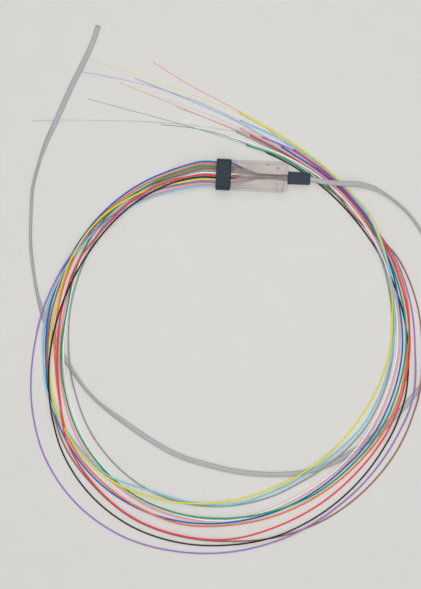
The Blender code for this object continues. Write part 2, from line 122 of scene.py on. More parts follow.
def sweep(name, path, outline, rolls=None, hollow=0.0, wall=0.0):
    """A closed skin drawn along a path. outline gives the section as (across, up) pairs, and a hollow end
    is bored back from the path's last point, leaving the given wall. UV is (turn, metres along)."""
    path = np.array(path, float)
    tangent = np.gradient(path, axis=0)
    tangent /= np.linalg.norm(tangent, axis=1)[:, None]
    across = np.cross(tangent, (0.0, 0.0, 1.0))
    across /= np.linalg.norm(across, axis=1)[:, None]
    up = np.cross(across, tangent)
    along = np.concatenate([[0.0], np.cumsum(np.linalg.norm(np.diff(path, axis=0), axis=1))])
    outline = np.array(outline)
    sides = len(outline)
    half = abs(outline).max(axis=0)
    rings = []
    for i in range(len(path)):
        turn = math.radians(rolls[i]) if rolls is not None else 0.0
        a = outline[:, 0] * math.cos(turn) - outline[:, 1] * math.sin(turn)
        b = outline[:, 0] * math.sin(turn) + outline[:, 1] * math.cos(turn)
        rings.append((path[i] + a[:, None] * across[i] + b[:, None] * up[i], along[i]))
    if hollow:
        shrink = (half.min() - wall) / half.min()
        for back in (0.0, hollow):
            spot = path[-1] - tangent[-1] * back
            ring = spot + outline[:, :1] * shrink * across[-1] + outline[:, 1:] * shrink * up[-1]
            rings.append((ring, along[-1] - back))
    mesh = bmesh.new()
    uv = mesh.loops.layers.uv.new("along")
    rows = [[mesh.verts.new(spot) for spot in ring] for ring, _ in rings]
    for i in range(len(rows) - 1):
        for k in range(sides):
            n = (k + 1) % sides
            face = mesh.faces.new((rows[i][k], rows[i][n], rows[i + 1][n], rows[i + 1][k]))
            face.smooth = True
            corners = ((k, i), (k + 1, i), (k + 1, i + 1), (k, i + 1))
            for loop, (turn, row) in zip(face.loops, corners):
                loop[uv].uv = (turn / sides, rings[row][1])
    mesh.faces.new(list(reversed(rows[0])))
    mesh.faces.new(rows[-1])
    return finished(name, mesh)


def plastic(name, colour, roughness, shade=0.05, grain=900.0, bump=0.06, streaks=0.0, coat=0.0, gloss=0.5):
    """Moulded or extruded plastic: slight shade changes, fine grain, and die streaks along a drawn skin."""
    made = bpy.data.materials.new(name)
    made.use_nodes = True
    tree = made.node_tree
    shader = tree.nodes["Principled BSDF"]
    shader.inputs["Specular IOR Level"].default_value = gloss
    shader.inputs["Coat Weight"].default_value = coat
    shader.inputs["Coat Roughness"].default_value = 0.2
    place = tree.nodes.new("ShaderNodeTexCoord")
    cloud = tree.nodes.new("ShaderNodeTexNoise")
    cloud.inputs["Scale"].default_value = 60.0
    cloud.inputs["Detail"].default_value = 3.0
    tree.links.new(place.outputs["Object"], cloud.inputs["Vector"])
    ramp = tree.nodes.new("ShaderNodeValToRGB")
    ramp.color_ramp.elements[0].position = 0.3
    ramp.color_ramp.elements[1].position = 0.7
    ramp.color_ramp.elements[0].color = (*[c * (1 - shade) for c in colour], 1)
    ramp.color_ramp.elements[1].color = (*[min(1.0, c * (1 + shade)) for c in colour], 1)
    tree.links.new(cloud.outputs["Fac"], ramp.inputs["Fac"])
    tree.links.new(ramp.outputs["Color"], shader.inputs["Base Color"])
    rough = tree.nodes.new("ShaderNodeMapRange")
    rough.inputs["To Min"].default_value = roughness - 0.06
    rough.inputs["To Max"].default_value = roughness + 0.06
    tree.links.new(cloud.outputs["Fac"], rough.inputs["Value"])
    tree.links.new(rough.outputs["Result"], shader.inputs["Roughness"])
    fine = tree.nodes.new("ShaderNodeTexNoise")
    fine.inputs["Scale"].default_value = grain
    fine.inputs["Detail"].default_value = 2.0
    if streaks:
        stretch = tree.nodes.new("ShaderNodeMapping")
        stretch.inputs["Scale"].default_value = (streaks, 4.0, 1.0)
        tree.links.new(place.outputs["UV"], stretch.inputs["Vector"])
        tree.links.new(stretch.outputs["Vector"], fine.inputs["Vector"])
        fine.inputs["Scale"].default_value = 1.0
    else:
        tree.links.new(place.outputs["Object"], fine.inputs["Vector"])
    relief = tree.nodes.new("ShaderNodeBump")
    relief.inputs["Strength"].default_value = bump
    relief.inputs["Distance"].default_value = 0.05 * MM
    tree.links.new(fine.outputs["Fac"], relief.inputs["Height"])
    tree.links.new(relief.outputs["Normal"], shader.inputs["Normal"])
    return made


cable_line = [(BOOT_END_X + GAP, 0.0, MID_HEIGHT - half_height(0.0) - FLOOR_LIFT, 0.0)]
cable_line += [(x * MM, y * MM, lift * MM, roll) for x, y, lift, roll in CABLE_ROUTE]
cable_fine = smooth_route(cable_line, spacing=RING_STEP)
cable_rolls = cable_fine[:, 3]
cable_lift = np.maximum(cable_fine[:, 2], 0.0)
cable_path = np.column_stack([
    cable_fine[:, :2], cable_lift + [half_height(roll) + FLOOR_LIFT for roll in cable_rolls]])
cable_path = np.vstack([[(BOOT_END_X - CABLE_IN_BOOT, 0.0, MID_HEIGHT)], cable_path])
cable_rolls = np.concatenate([[0.0], cable_rolls])
cable_turns = [2 * math.pi * k / CABLE_SIDES for k in range(CABLE_SIDES)]
cable_section = [(CABLE_WIDTH / 2 * math.cos(t), CABLE_THICKNESS / 2 * math.sin(t)) for t in cable_turns]
feed_cable = sweep("feed_cable_jacket", cable_path, cable_section, cable_rolls, hollow=CABLE_HOLLOW,
                   wall=CABLE_WALL)
feed_cable.data.materials.append(
    plastic("grey_jacket", (0.405, 0.405, 0.40), 0.42, shade=0.06, bump=0.25, streaks=34.0, gloss=0.35))
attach(feed_cable, "root")
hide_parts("feed_cable")

# Buffer tubes
# Twelve 0.9 mm tubes in the standard colour order, each extruded in a soft elastomer. Each is pushed into a
# slot of the comb, runs once around the coil, and is cut off square where its fibre comes out.

COMB_FACE_X = -27.25 * MM
TUBE_RADIUS = 0.45 * MM
TUBE_WALL = 0.2 * MM
TUBE_PITCH = 1.28 * MM
TUBE_SOLID_POINTS = 60
TUBE_SIDES = 14
TUBE_IN_COMB = 1.4 * MM
TUBE_HOLLOW = 3.0 * MM  # how far its cut end is open
STRAIGHT_EXIT = 7.0 * MM
CLOSING_STRETCH_Y = -20.0 * MM
END_ROOM = 8.0 * MM
LOOP_CENTRE = (-13.4, -101.7)
FIRST_BEARING = 17.9
BEARING_STEP = 15.0
LEG_RADII = {
    "blue": (110.4, 110.2, 109.2, 108.1, 107.9, 107.4, 108.6, 108.7, 108.1, 105.9, 102.7, 99.4,
             96.7, 94.9, 94.3, 95.5, 97.1, 99.2, 100.9, 105.4, 110.0, 114.8, 121.0),
    "orange": (108.8, 108.8, 108.0, 105.7, 103.4, 102.1, 103.4, 107.1, 106.6, 105.3, 104.2, 100.9,
               98.9, 97.9, 98.0, 99.4, 101.0, 102.3, 106.0, 108.1, 108.9, 114.0, 120.2),
    "green": (107.8, 107.0, 105.8, 102.4, 98.1, 98.4, 99.3, 100.7, 100.9, 100.2, 98.6, 96.7,
              95.8, 96.0, 96.2, 97.5, 99.1, 101.2, 103.1, 105.8, 108.2, 109.8, 115.8),
    "brown": (106.3, 107.2, 107.1, 106.7, 106.4, 106.5, 108.1, 111.1, 111.7, 112.6, 111.4, 110.4,
              111.2, 111.8, 111.9, 112.1, 111.6, 110.8, 111.1, 110.4, 105.4, 111.0, 118.6),
    "slate": (105.3, 105.3, 103.2, 99.3, 96.4, 94.1, 93.6, 94.1, 94.1, 93.7, 92.0, 89.7,
              87.6, 86.0, 87.0, 89.6, 91.6, 94.0, 96.4, 101.4, 107.0, 112.9, 117.8),
    "white": (104.6, 104.9, 104.1, 101.3, 97.6, 97.0, 97.6, 99.1, 99.9, 100.0, 99.5, 98.0,
              94.3, 92.1, 91.6, 92.0, 93.2, 96.2, 98.6, 102.4, 106.5, 112.0, 117.2),
    "red": (104.0, 104.4, 102.5, 102.4, 101.1, 100.7, 102.8, 108.7, 111.0, 112.1, 110.8, 109.0,
            105.1, 102.6, 101.3, 101.7, 102.1, 103.2, 104.9, 107.1, 110.6, 116.3, 123.8),
    "black": (102.8, 102.4, 100.9, 100.2, 101.5, 104.6, 108.6, 113.8, 116.6, 117.0, 115.1, 112.4,
              110.2, 107.7, 105.8, 104.7, 104.2, 102.8, 102.0, 102.3, 104.3, 108.6, 114.6),
    "yellow": (101.5, 105.6, 107.8, 106.7, 104.7, 105.2, 106.5, 105.9, 102.7, 96.9, 91.3, 86.8,
               83.3, 81.8, 82.2, 83.8, 87.3, 92.0, 96.6, 104.0, 112.2, 118.2, 126.7),
    "violet": (100.5, 103.5, 104.7, 108.2, 110.8, 114.5, 119.7, 124.4, 126.0, 124.5, 120.4, 116.5,
               112.9, 109.9, 108.5, 108.1, 108.6, 106.7, 107.6, 109.3, 109.8, 115.4, 122.5),
    "rose": (98.9, 101.5, 102.7, 102.1, 99.6, 99.5, 100.6, 102.5, 102.5, 102.1, 100.8, 98.0,
             94.4, 93.1, 92.6, 93.4, 94.8, 97.4, 99.5, 103.0, 107.6, 113.3, 119.6),
    "aqua": (97.7, 100.9, 103.9, 106.7, 109.0, 109.0, 108.7, 105.0, 101.3, 93.5, 90.7, 88.9,
             85.3, 83.5, 84.3, 87.7, 90.1, 93.4, 97.6, 103.4, 111.3, 117.2, 125.0),
}
LEG_TAILS = {
    "blue": ((9.5, 18.2), (-11.6, 29.0), (-33.3, 38.0), (-55.4, 46.0), (-77.6, 53.6)),
    "orange": ((10.8, 15.6), (-8.4, 22.7), (-27.6, 29.9), (-46.9, 36.9), (-66.2, 43.8), (-85.6, 50.3)),
    "green": ((-10.8, 18.0), (-33.8, 24.5), (-57.0, 30.0), (-80.4, 35.1), (-103.7, 40.0)),
    "brown": ((-8.7, 23.7), (-30.5, 31.1), (-52.4, 38.0)),
    "slate": ((-17.0, 25.6), (-40.7, 27.8), (-64.4, 28.6), (-88.1, 28.3), (-111.8, 27.3), (-135.5, 25.7)),
    "white": ((-21.5, 22.8), (-37.8, 27.9), (-54.4, 31.5)),
    "red": ((16.9, 16.8), (-2.9, 30.5), (-24.3, 41.4), (-46.1, 51.6), (-67.1, 63.4)),
    "black": ((1.0, 14.3), (-19.1, 21.6), (-39.8, 26.0), (-61.2, 27.4)),
    "yellow": ((-15.2, 36.4), (-37.9, 43.8), (-60.7, 50.9), (-83.6, 57.6), (-106.6, 63.7)),
    "violet": ((-1.8, 23.1), (-21.6, 34.2), (-42.4, 42.4), (-64.0, 48.4), (-86.2, 52.6), (-108.5, 55.5)),
    "rose": ((-14.7, 27.4), (-35.8, 35.2), (-57.3, 41.8)),
    "aqua": ((-15.0, 32.1), (-30.4, 38.2), (-45.8, 44.1)),
}
LEG_COLOURS = {
    "blue": (0.006, 0.130, 0.520),
    "orange": (0.860, 0.175, 0.062),
    "green": (0.007, 0.325, 0.122),
    "brown": (0.330, 0.150, 0.088),
    "slate": (0.300, 0.325, 0.315),
    "white": (0.850, 0.850, 0.840),
    "red": (0.800, 0.050, 0.068),
    "black": (0.016, 0.016, 0.018),
    "yellow": (0.780, 0.720, 0.028),
    "violet": (0.330, 0.190, 0.520),
    "rose": (0.840, 0.350, 0.400),
    "aqua": (0.230, 0.590, 0.710),
}


def slot_y(index):
    """Where a leg's slot lies across the comb."""
    return (len(LEG_RADII) - 1 - 2 * index) / 2 * TUBE_PITCH


def bearing_point(bearing, radius):
    """The point of the loop at a bearing and a distance from its centre."""
    turn = math.radians(bearing)
    x = LOOP_CENTRE[0] - radius * math.sin(turn)
    y = LOOP_CENTRE[1] + radius * math.cos(turn)
    return x * MM, y * MM


def passes(point, tube_end):
    """Whether a point of the loop's last stretch lies beyond the place where the tube is cut off."""
    return point[1] > CLOSING_STRETCH_Y and COMB_FACE_X < point[0] < tube_end[0] + END_ROOM


def tube_plan(index, colour):
    """The points that a tube's line passes through, as seen from above."""
    start_x = COMB_FACE_X - GAP
    route = [(start_x, slot_y(index)), (start_x - STRAIGHT_EXIT, slot_y(index))]
    for k, radius in enumerate(LEG_RADII[colour]):
        route.append(bearing_point(FIRST_BEARING + k * BEARING_STEP, radius))
    tube_end = (LEG_TAILS[colour][0][0] * MM, LEG_TAILS[colour][0][1] * MM)
    return [point for point in route if not passes(point, tube_end)] + [tube_end]


def levels(node, plan, radius):
    """The height of a strand's solid at each point of its plan. Where the solid runs so straight that it has
    no ring at a point, the height lies between those of its neighbours."""
    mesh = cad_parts[node].data
    spots = np.empty(len(mesh.vertices) * 3)
    mesh.vertices.foreach_get("co", spots)
    spots = spots.reshape(-1, 3)
    rows = []
    found = []
    for row, (x, y) in enumerate(plan):
        near = np.hypot(spots[:, 0] - x, spots[:, 1] - y) < radius * 1.5 + GAP
        if near.any():
            rows.append(row)
            found.append((spots[near, 2].min() + spots[near, 2].max()) / 2)
    return np.interp(np.arange(len(plan)), rows, found)


def eased(at, places, heights):
    """Heights along a strand that pass through the given ones and never overshoot between them."""
    step = np.diff(places)
    slope = np.diff(heights) / step
    ease = np.zeros(len(heights))
    same = slope[:-1] * slope[1:] > 0
    ease[1:-1][same] = 2 * slope[:-1][same] * slope[1:][same] / (slope[:-1][same] + slope[1:][same])
    k = np.clip(np.searchsorted(places, at, side="right") - 1, 0, len(step) - 1)
    t = (at - places[k]) / step[k]
    near = (1 + 2 * t) * (1 - t) ** 2 * heights[k] + t * (1 - t) ** 2 * step[k] * ease[k]
    return near + t * t * (3 - 2 * t) * heights[k + 1] - t * t * (1 - t) * step[k] * ease[k + 1]


def distances(plan):
    return np.concatenate([[0.0], np.cumsum(np.linalg.norm(np.diff(plan[:, :2], axis=0), axis=1))])


def strand_path(node, route, radius, fine_spacing, count=None, spacing=None):
    """A strand's centre line: its plan, drawn finely, at the heights of its solid."""
    coarse = smooth_route(route, spacing=spacing, count=count)
    fine = smooth_route(route, spacing=fine_spacing)
    at = distances(fine)
    places = distances(coarse) * at[-1] / distances(coarse)[-1]
    return np.column_stack([fine, eased(at, places, levels(node, coarse, radius))])


def circle(radius, sides):
    return [(radius * math.cos(2 * math.pi * k / sides), radius * math.sin(2 * math.pi * k / sides))
            for k in range(sides)]


tube_ends = {}
for index, colour in enumerate(LEG_RADII):
    node = "tube_" + colour
    path = strand_path(node, tube_plan(index, colour), TUBE_RADIUS, RING_STEP, count=TUBE_SOLID_POINTS)
    slot = (COMB_FACE_X + TUBE_IN_COMB, slot_y(index), MID_HEIGHT)
    path = np.vstack([[slot], path])
    tube_ends[colour] = path[-2:]
    tube = sweep("buffer_" + node, path, circle(TUBE_RADIUS, TUBE_SIDES), hollow=TUBE_HOLLOW, wall=TUBE_WALL)
    tube.data.materials.append(plastic("tube_" + colour + "_skin", LEG_COLOURS[colour], 0.42, bump=0.15,
                                       streaks=12.0, gloss=0.25))
    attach(tube, "root")
    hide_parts(node)

# Bare fibres
# Glass fibres 0.25 mm thick over their coloured lacquer, glossy. Each starts inside its tube's open end
# and fans out over the table to the left.

FIBRE_RADIUS = 0.125 * MM
FIBRE_STEP = 9.0 * MM
FIBRE_RING_STEP = 2.0 * MM
FIBRE_SIDES = 8
FIBRE_IN_TUBE = 2.2 * MM


def lacquer(name, colour):
    """Coloured lacquer on glass: glossy, and brighter than the tube of its colour."""
    return plastic(name, [c ** 0.6 for c in colour], 0.3, shade=0.08, bump=0.05, coat=0.3)


for colour, tail in LEG_TAILS.items():
    node = "fibre_" + colour
    route = [(x * MM, y * MM) for x, y in tail]
    path = strand_path(node, route, FIBRE_RADIUS, FIBRE_RING_STEP, spacing=FIBRE_STEP)
    inside = tube_ends[colour][-1] - tube_ends[colour][-2]
    inside = tube_ends[colour][-1] - inside / np.linalg.norm(inside) * FIBRE_IN_TUBE
    path = np.vstack([[inside], path])
    fibre = sweep("bare_" + node, path, circle(FIBRE_RADIUS, FIBRE_SIDES))
    fibre.data.materials.append(lacquer("fibre_" + colour + "_lacquer", LEG_COLOURS[colour]))
    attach(fibre, "root")
    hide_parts(node)

# Comb
# The dark block at the front of the housing, moulded in matt charcoal nylon. Twelve round slots in its face
# grip the buffer tubes, and a groove along each side marks where its cheeks snap on.

COMB_LENGTH = 8.2 * MM
COMB_WIDTH = 17.7 * MM
COMB_HEIGHT = 6.6 * MM
COMB_CORNER = 0.6 * MM
COMB_EDGE = 0.45 * MM
SLOT_CLEARANCE = 0.07 * MM
SLOT_DEPTH = 1.8 * MM
HOLE_SIDES = 24
FIBRE_HOLE_DEPTH = 1.2 * MM
CHEEK_GROOVE_Y = 7.75 * MM
CHEEK_GROOVE_RADIUS = 0.5 * MM
BODY_START_X = -18.75 * MM
CORNER_STEPS = 8
JOINT_GAP = 0.02 * MM  # between pieces of the housing, which are pressed together


def rounded_block(name, low, high, corners, edge, steps=4):
    """A block between two corners. corners holds the radii of its upright edges at low and at high x, and
    edge is the rounding of its top and bottom rims."""
    rims = [(edge * (1 - math.sin(math.pi / 2 * k / steps)), edge * (1 - math.cos(math.pi / 2 * k / steps)))
            for k in range(steps + 1)]
    stack = [(inset, low[2] + rise) for inset, rise in rims]
    stack += [(inset, high[2] - rise) for inset, rise in reversed(rims)]
    spots = ((high[0], high[1], corners[1], 0), (low[0], high[1], corners[0], 90),
             (low[0], low[1], corners[0], 180), (high[0], low[1], corners[1], 270))
    mesh = bmesh.new()
    rings = []
    for inset, z in stack:
        ring = []
        for x, y, radius, start in spots:
            cx = x - math.copysign(radius, x - (low[0] + high[0]) / 2)
            cy = y - math.copysign(radius, y - (low[1] + high[1]) / 2)
            for k in range(CORNER_STEPS + 1):
                turn = math.radians(start + 90 * k / CORNER_STEPS)
                reach = radius - inset
                ring.append(mesh.verts.new((cx + reach * math.cos(turn), cy + reach * math.sin(turn), z)))
        rings.append(ring)
    return closed_skin(name, mesh, rings)


def closed_skin(name, mesh, rings):
    """Joins rings of vertices into one closed object with caps at both ends."""
    for lower, upper in zip(rings, rings[1:]):
        for k in range(len(lower)):
            n = (k + 1) % len(lower)
            mesh.faces.new((lower[k], lower[n], upper[n], upper[k]))
    mesh.faces.new(list(reversed(rings[0])))
    mesh.faces.new(rings[-1])
    return finished(name, mesh)


def started(name, **sockets):
    """A geometry node tree with named inputs after its geometry, and the node that gives them."""
    tree = bpy.data.node_groups.new(name, "GeometryNodeTree")
    tree.interface.new_socket("Geometry", in_out="INPUT", socket_type="NodeSocketGeometry")
    for label, kind in sockets.items():
        tree.interface.new_socket(label.replace("_", " "), in_out="INPUT", socket_type="NodeSocket" + kind)
    tree.interface.new_socket("Geometry", in_out="OUTPUT", socket_type="NodeSocketGeometry")
    return tree, tree.nodes.new("NodeGroupInput")


def ended(tree, given, made):
    """Ends a node tree: copies are made real and take the finish given."""
    whole = tree.nodes.new("GeometryNodeRealizeInstances")
    tree.links.new(made, whole.inputs["Geometry"])
    finish = tree.nodes.new("GeometryNodeSetMaterial")
    tree.links.new(whole.outputs["Geometry"], finish.inputs["Geometry"])
    tree.links.new(given.outputs["Finish"], finish.inputs["Material"])
    result = tree.nodes.new("NodeGroupOutput")
    tree.links.new(finish.outputs["Geometry"], result.inputs["Geometry"])
    return tree


def row_tree(name, sides):
    """Geometry Nodes that bore a straight row of round holes into what carries them."""
    tree, given = started(name, Holes="Int", First_Hole="Vector", Spacing="Vector", Turn="Vector",
                          Radius="Float", Depth="Float", Finish="Material")
    row = tree.nodes.new("GeometryNodeMeshLine")
    row.mode = "OFFSET"
    tree.links.new(given.outputs["Holes"], row.inputs["Count"])
    tree.links.new(given.outputs["First Hole"], row.inputs["Start Location"])
    tree.links.new(given.outputs["Spacing"], row.inputs["Offset"])
    drill = tree.nodes.new("GeometryNodeMeshCylinder")
    drill.inputs["Vertices"].default_value = sides
    tree.links.new(given.outputs["Radius"], drill.inputs["Radius"])
    tree.links.new(given.outputs["Depth"], drill.inputs["Depth"])
    copies = tree.nodes.new("GeometryNodeInstanceOnPoints")
    tree.links.new(row.outputs["Mesh"], copies.inputs["Points"])
    tree.links.new(drill.outputs["Mesh"], copies.inputs["Instance"])
    tree.links.new(given.outputs["Turn"], copies.inputs["Rotation"])
    drills = tree.nodes.new("GeometryNodeRealizeInstances")
    tree.links.new(copies.outputs["Instances"], drills.inputs["Geometry"])
    bore = tree.nodes.new("GeometryNodeMeshBoolean")
    bore.operation = "DIFFERENCE"
    bore.solver = "EXACT"
    tree.links.new(given.outputs["Geometry"], bore.inputs["Mesh 1"])
    tree.links.new(drills.outputs["Geometry"], bore.inputs["Mesh 2"])
    return ended(tree, given, bore.outputs["Mesh"])


def add_nodes(obj, tree, values):
    """Puts a node tree on an object, with its named inputs set by their identifiers."""
    step = obj.modifiers.new(tree.name, "NODES")
    step.node_group = tree
    for item in tree.interface.items_tree:
        if item.in_out == "INPUT" and item.name in values:
            step[item.identifier] = values[item.name]


def make_plain(obj, angle=35.0):
    """Works an object's modifiers into its mesh, and shades it smooth up to the given angle."""
    graph = bpy.context.evaluated_depsgraph_get()
    plain = bpy.data.meshes.new_from_object(obj.evaluated_get(graph))
    obj.modifiers.clear()
    obj.data = plain
    plain.shade_smooth()
    plain.set_sharp_from_angle(angle=math.radians(angle))


comb_end_x = BODY_START_X - JOINT_GAP
comb = rounded_block("comb", (COMB_FACE_X, -COMB_WIDTH / 2, 0.0), (comb_end_x, COMB_WIDTH / 2, COMB_HEIGHT),
                     (COMB_CORNER, COMB_CORNER), COMB_EDGE)
charcoal = plastic("charcoal_nylon", (0.029, 0.041, 0.054), 0.5, shade=0.08, grain=2600.0, bump=0.3,
                   gloss=0.35)
bores = row_tree("bored_row", HOLE_SIDES)
across_face = (0.0, math.radians(90.0), 0.0)
for face_x, depth in ((COMB_FACE_X, SLOT_DEPTH), (comb_end_x, FIBRE_HOLE_DEPTH)):
    add_nodes(comb, bores, {
        "Holes": len(LEG_RADII), "First Hole": (face_x, slot_y(0), MID_HEIGHT),
        "Spacing": (0.0, -TUBE_PITCH, 0.0), "Turn": across_face, "Radius": TUBE_RADIUS + SLOT_CLEARANCE,
        "Depth": 2 * depth, "Finish": charcoal})
add_nodes(comb, bores, {
    "Holes": 2, "First Hole": ((COMB_FACE_X + comb_end_x) / 2, CHEEK_GROOVE_Y, COMB_HEIGHT),
    "Spacing": (0.0, -2 * CHEEK_GROOVE_Y, 0.0), "Turn": across_face, "Radius": CHEEK_GROOVE_RADIUS,
    "Depth": 2 * COMB_LENGTH, "Finish": charcoal})
make_plain(comb)
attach(comb, "root")
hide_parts("comb_block")

# Clear body
# The see-through moulding where the cable's fibres part, hollow, with 1.2 mm walls in slightly tinted
# polycarbonate. It is open towards the comb, has a door for the fibres at the boot, and small round dimples
# in its top from the mould's pins.

BODY_END_X = 14.15 * MM
BODY_WIDTH = 17.4 * MM
BODY_HEIGHT = 6.2 * MM
BODY_CORNER = 2.5 * MM
BODY_EDGE = 0.5 * MM
WALL = 1.2 * MM
END_WALL = 1.8 * MM
ROOM_CORNER = 1.2 * MM
ROOM_EDGE = 0.4 * MM
DOOR_WIDTH = 4.6 * MM
DOOR_HEIGHT = 2.8 * MM
DIMPLE_RADIUS = 0.5 * MM
DIMPLE_DEPTH = 0.2 * MM
SHADE_DISC_RADIUS = 0.49 * MM
SHADE_DISC_THICKNESS = 0.1 * MM
DIMPLES = ((7.8, -4.3), (7.9, -7.4), (11.4, -7.3), (2.0, 6.5), (8.5, 5.1))


def clear_plastic(name, colour, roughness):
    """Clear tinted plastic: see-through, with faint flow lines and fine scuffs in its gloss."""
    made = plastic(name, colour, roughness, shade=0.03, grain=260.0, bump=0.05)
    shader = made.node_tree.nodes["Principled BSDF"]
    shader.inputs["Transmission Weight"].default_value = 0.95
    shader.inputs["IOR"].default_value = 1.33
    shader.inputs["Alpha"].default_value = 0.6
    return made


def disc_tree(name):
    """Geometry Nodes that lay a thin disc on every point given."""
    tree, given = started(name, Radius="Float", Thickness="Float", Finish="Material")
    disc = tree.nodes.new("GeometryNodeMeshCylinder")
    disc.inputs["Vertices"].default_value = HOLE_SIDES
    tree.links.new(given.outputs["Radius"], disc.inputs["Radius"])
    tree.links.new(given.outputs["Thickness"], disc.inputs["Depth"])
    copies = tree.nodes.new("GeometryNodeInstanceOnPoints")
    tree.links.new(given.outputs["Geometry"], copies.inputs["Points"])
    tree.links.new(disc.outputs["Mesh"], copies.inputs["Instance"])
    return ended(tree, given, copies.outputs["Instances"])


body = rounded_block("clear_shell", (BODY_START_X, -BODY_WIDTH / 2, 0.0),
                     (BODY_END_X, BODY_WIDTH / 2, BODY_HEIGHT), (BODY_EDGE, BODY_CORNER), BODY_EDGE)
room = rounded_block("room", (BODY_START_X - 2 * WALL, WALL - BODY_WIDTH / 2, WALL),
                     (BODY_END_X - END_WALL, BODY_WIDTH / 2 - WALL, BODY_HEIGHT - WALL),
                     (ROOM_EDGE, ROOM_CORNER), ROOM_EDGE)
door = rounded_block("door", (BODY_END_X - 2 * END_WALL, -DOOR_WIDTH / 2, MID_HEIGHT - DOOR_HEIGHT / 2),
                     (BODY_END_X + END_WALL, DOOR_WIDTH / 2, MID_HEIGHT + DOOR_HEIGHT / 2),
                     (ROOM_EDGE, ROOM_EDGE), ROOM_EDGE)
for tool in (room, door):
    cut = body.modifiers.new(tool.name, "BOOLEAN")
    cut.object = tool
    cut.operation = "DIFFERENCE"
    cut.solver = "EXACT"
pale = clear_plastic("clear_polycarbonate", (0.87, 0.822, 0.808), 0.03)
for x, y in DIMPLES:
    add_nodes(body, bores, {
        "Holes": 1, "First Hole": (x * MM, y * MM, BODY_HEIGHT), "Spacing": (0.0, 0.0, 0.0),
        "Turn": (0.0, 0.0, 0.0), "Radius": DIMPLE_RADIUS, "Depth": 2 * DIMPLE_DEPTH, "Finish": pale})
make_plain(body)
for tool in (room, door):
    bpy.data.objects.remove(tool)
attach(body, "root")
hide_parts("clear_body")
# Painted shade: a dark disc sits in each dimple, for how dark the dimples look from above.
shade_disc_mesh = bpy.data.meshes.new("painted_dimple_shade")
shade_disc_mesh.from_pydata([(x * MM, y * MM, BODY_HEIGHT - DIMPLE_DEPTH) for x, y in DIMPLES], [], [])
shade_discs = placed("painted_dimple_shade", shade_disc_mesh)
add_nodes(shade_discs, disc_tree("dimple_shade_nodes"), {
    "Radius": SHADE_DISC_RADIUS, "Thickness": SHADE_DISC_THICKNESS,
    "Finish": plastic("dimple_shade_paint", (0.10, 0.08, 0.08), 0.7, shade=0.15, grain=3000.0, bump=0.4)})
make_plain(shade_discs)
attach(shade_discs, "root")

# Inner fibres
# The cable's own twelve fibres, bared inside the clear body. Each leaves its hole in the comb, swings to the
# middle, joins two flat rows and runs through the door into the boot.

BOOT_START_X = 14.45 * MM
INNER_SPREAD = ((0.0, 1.0), (0.146, 0.62), (0.301, 0.31), (0.422, 0.06), (0.547, 0.0), (1.0, 0.0))
INNER_COLUMNS = 6
COLUMN_PITCH = 0.6 * MM
ROW_SHIFT = COLUMN_PITCH / 4
ROW_RISE = 0.35 * MM
INNER_IN_COMB = 0.9 * MM
INNER_IN_BOOT = 1.5 * MM
INNER_RING_STEP = 0.8 * MM
INNER_PAINTED_SHADE = 0.45  # painted shade: how much their colour is darkened, for how they look through the clear body
INNER_STRENGTH = 1.7  # how much stronger their colours are

inner_length = BOOT_START_X - GAP - BODY_START_X
inner_paths = {}
for index, colour in enumerate(LEG_RADII):
    row = 1 if index % 2 == 0 else -1
    column_y = ((INNER_COLUMNS - 1) / 2 - index // 2) * COLUMN_PITCH + row * ROW_SHIFT
    rise = row * ROW_RISE
    line = [(BODY_START_X - INNER_IN_COMB, slot_y(index), MID_HEIGHT)]
    for way, share in INNER_SPREAD:
        line.append((BODY_START_X + way * inner_length, column_y + (slot_y(index) - column_y) * share,
                     MID_HEIGHT + rise * (1 - share)))
    line.append((BOOT_START_X + INNER_IN_BOOT, column_y, MID_HEIGHT + rise))
    inner_paths[colour] = smooth_route(line, spacing=INNER_RING_STEP)
    inner = sweep("inner_strand_" + colour, inner_paths[colour], circle(FIBRE_RADIUS, FIBRE_SIDES))
    # Painted shade: each inner fibre's colour is darkened here, for how it looks through the clear body.
    shaded_lacquer_colour = [INNER_PAINTED_SHADE * c ** INNER_STRENGTH for c in LEG_COLOURS[colour]]
    inner.data.materials.append(plastic("inner_" + colour + "_lacquer", shaded_lacquer_colour, 0.3, coat=0.3))
    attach(inner, "root")
    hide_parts("inner_fibre_" + colour)

# Inner tube ends
# Each buffer tube reaches a little way through the comb into the clear body, and its fibre comes out of it
# there. The ends were cut by hand, so no two are of one length.

INNER_TUBE_LENGTHS = {
    "blue": 7.5, "orange": 3.2, "green": 2.4, "brown": 2.0, "slate": 2.2, "white": 2.8, "red": 6.0,
    "black": 3.0, "yellow": 1.9, "violet": 2.3, "rose": 2.6, "aqua": 1.7,
}
INNER_TUBE_BACK = 0.8 * MM  # how far each reaches back into the comb
INNER_TUBE_HOLLOW = 1.0 * MM
INNER_TUBE_RINGS = 8

for index, colour in enumerate(LEG_RADII):
    inner = inner_paths[colour]
    reach = distances(inner)
    spots = np.linspace(0.0, INNER_TUBE_BACK + INNER_TUBE_LENGTHS[colour] * MM, INNER_TUBE_RINGS)
    stub = np.column_stack([np.interp(spots, reach, inner[:, k]) for k in range(3)])
    inner_end = sweep("inner_tube_" + colour, stub, circle(TUBE_RADIUS, TUBE_SIDES),
                      hollow=INNER_TUBE_HOLLOW, wall=TUBE_WALL)
    inner_end.data.materials.append(bpy.data.materials["tube_" + colour + "_skin"])
    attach(inner_end, "root")

# Boot
# The sleeve that keeps the cable from kinking, moulded in soft charcoal rubber. Its collar sits against the
# clear body, and the cable comes out of a close hole in its far end.

